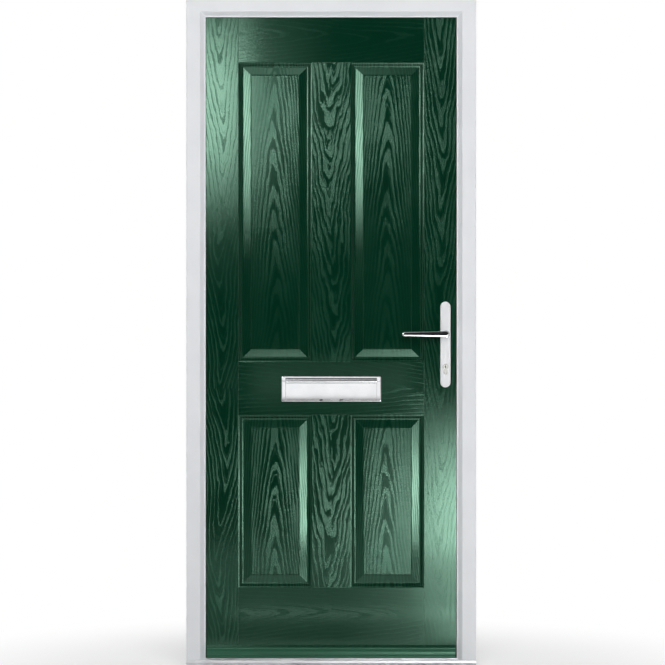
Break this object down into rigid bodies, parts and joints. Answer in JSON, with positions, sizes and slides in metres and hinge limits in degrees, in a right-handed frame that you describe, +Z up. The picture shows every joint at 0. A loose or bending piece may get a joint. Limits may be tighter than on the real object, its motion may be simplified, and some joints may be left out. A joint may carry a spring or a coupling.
{
  "type": "panelled front door with frame",
  "caption": "Inward-opening panelled front door in its white frame and threshold, with lever handle, hook lock, letterplate, weather bar and hinges.",
  "frame": {"origin": "floor level under the threshold, at the middle of the door's width and of the frame's depth", "axes": "+X to the right seen from outside, +Y into the house, +Z up"},
  "size_m": [0.9, 0.1455, 2.085],
  "materials": {
    "upvc_white": "smooth white plastic",
    "galvanised": "galvanised",
    "aluminium": "mill finish, ribbed",
    "polyamide": "matt black",
    "rubber_black": "matt",
    "white_coated": "white powder coat",
    "zinc_plated": "bright zinc",
    "green_skin": "moulded woodgrain, dark green",
    "foam": "rigid foam",
    "timber": "laminated timber",
    "green_bar": "satin dark green",
    "chrome_plated": "polished chrome",
    "liner_black": "matt black",
    "nickel_brass": "satin nickel plate",
    "lock_steel": "satin"
  },
  "bodies": {
    "frame": {"frame_hinge_jamb": "upvc_white", "frame_lock_jamb": "upvc_white", "frame_head": "upvc_white", "frame_steels": "galvanised", "threshold_outer": "aluminium", "threshold_break": "polyamide", "threshold_inner": "aluminium", "threshold_blocks": "polyamide", "frame_gasket": "rubber_black", "threshold_gasket": "rubber_black", "latch_keep": "zinc_plated", "hook_keep_top": "zinc_plated", "hook_keep_bottom": "zinc_plated", "hinge_pins": "lock_steel", "hinge_frame_leaf_bottom": "white_coated", "hinge_frame_leaf_middle": "white_coated", "hinge_frame_leaf_top": "white_coated"},
    "leaf": {"outer_skin": "green_skin", "inner_skin": "green_skin", "foam_core": "foam", "hinge_stile": "timber", "lock_stile": "timber", "top_rail": "timber", "bottom_rail": "timber", "weather_bar": "green_bar", "drop_seal": "rubber_black", "hinge_door_leaf_bottom": "white_coated", "hinge_door_leaf_middle": "white_coated", "hinge_door_leaf_top": "white_coated", "letterplate_outer": "chrome_plated", "letterplate_sleeve": "liner_black", "letterplate_inner": "chrome_plated", "letterplate_screws": "zinc_plated", "flap_pins": "lock_steel", "handle_plate_outer": "white_coated", "handle_plate_inner": "white_coated", "handle_screws": "zinc_plated", "lock_faceplate": "zinc_plated", "lock_case": "zinc_plated", "hook_cases": "zinc_plated", "cylinder_body": "nickel_brass", "cylinder_screw": "zinc_plated"},
    "lever": {"lever_outer": "chrome_plated", "lever_inner": "chrome_plated", "spindle": "lock_steel", "follower": "lock_steel"},
    "latch": {"latch_bolt": "lock_steel"},
    "outer_key_plug": {"plug_outer": "nickel_brass", "cylinder_cam": "lock_steel"},
    "inner_key_plug": {"plug_inner": "nickel_brass"},
    "deadbolt": {"deadbolt": "lock_steel"},
    "drive_strip_top": {"drive_strip_top": "zinc_plated"},
    "drive_strip_bottom": {"drive_strip_bottom": "zinc_plated"},
    "hook_top": {"hook_top": "lock_steel"},
    "hook_bottom": {"hook_bottom": "lock_steel"},
    "outer_flap": {"outer_flap": "chrome_plated"},
    "inner_flap": {"inner_flap": "chrome_plated"}
  },
  "joints": [
    {"name": "leaf_swing", "type": "hinge", "parent": "frame", "child": "leaf", "pos_m": [-0.403, 0.044, 1.045], "axis": [0, 0, 1], "range_deg": [0, 110]},
    {"name": "lever_turn", "type": "hinge", "parent": "leaf", "child": "lever", "pos_m": [0.3557, 0.008, 1.0395], "axis": [0, -1, 0], "range_deg": [0, 40], "stiffness_Nm_per_rad": 1.5, "springref_deg": -28.65},
    {"name": "latch_slide", "type": "slide", "parent": "leaf", "child": "latch", "axis": [-1, 0, 0], "range_m": [0, 0.012]},
    {"name": "outer_key_turn", "type": "hinge", "parent": "leaf", "child": "outer_key_plug", "pos_m": [0.3557, 0.008, 0.9382], "axis": [0, 1, 0], "range_deg": [0, 360]},
    {"name": "inner_key_turn", "type": "hinge", "parent": "leaf", "child": "inner_key_plug", "pos_m": [0.3557, 0.008, 0.9382], "axis": [0, -1, 0], "range_deg": [0, 360]},
    {"name": "deadbolt_slide", "type": "slide", "parent": "leaf", "child": "deadbolt", "axis": [1, 0, 0], "range_m": [0, 0.017]},
    {"name": "top_strip_slide", "type": "slide", "parent": "leaf", "child": "drive_strip_top", "axis": [0, 0, 1], "range_m": [0, 0.018]},
    {"name": "bottom_strip_slide", "type": "slide", "parent": "leaf", "child": "drive_strip_bottom", "axis": [0, 0, -1], "range_m": [0, 0.018]},
    {"name": "bottom_hook_turn", "type": "hinge", "parent": "leaf", "child": "hook_bottom", "pos_m": [0.3843, 0.008, 0.42], "axis": [0, -1, 0], "range_deg": [0, 90]},
    {"name": "top_hook_turn", "type": "hinge", "parent": "leaf", "child": "hook_top", "pos_m": [0.3843, 0.008, 1.65], "axis": [0, -1, 0], "range_deg": [0, 90]},
    {"name": "outer_flap_lift", "type": "hinge", "parent": "leaf", "child": "outer_flap", "pos_m": [0, -0.0259, 0.89395], "axis": [-1, 0, 0], "range_deg": [0, 90], "stiffness_Nm_per_rad": 0.15, "springref_deg": -28.65},
    {"name": "inner_flap_lift", "type": "hinge", "parent": "leaf", "child": "inner_flap", "pos_m": [0, 0.0366, 0.89825], "axis": [1, 0, 0], "range_deg": [0, 90], "stiffness_Nm_per_rad": 0.1, "springref_deg": -28.65}
  ],
  "couplings": [
    {"joint": "latch_slide", "follows": "lever_turn", "m_per_rad": 0.017},
    {"joint": "outer_key_turn", "follows": "deadbolt_slide", "rad_per_m": 369.5},
    {"joint": "top_strip_slide", "follows": "deadbolt_slide", "ratio": 1.0585},
    {"joint": "bottom_strip_slide", "follows": "deadbolt_slide", "ratio": 1.0585},
    {"joint": "top_hook_turn", "follows": "deadbolt_slide", "rad_per_m": 92.3},
    {"joint": "bottom_hook_turn", "follows": "deadbolt_slide", "rad_per_m": 92.3}
  ]
}
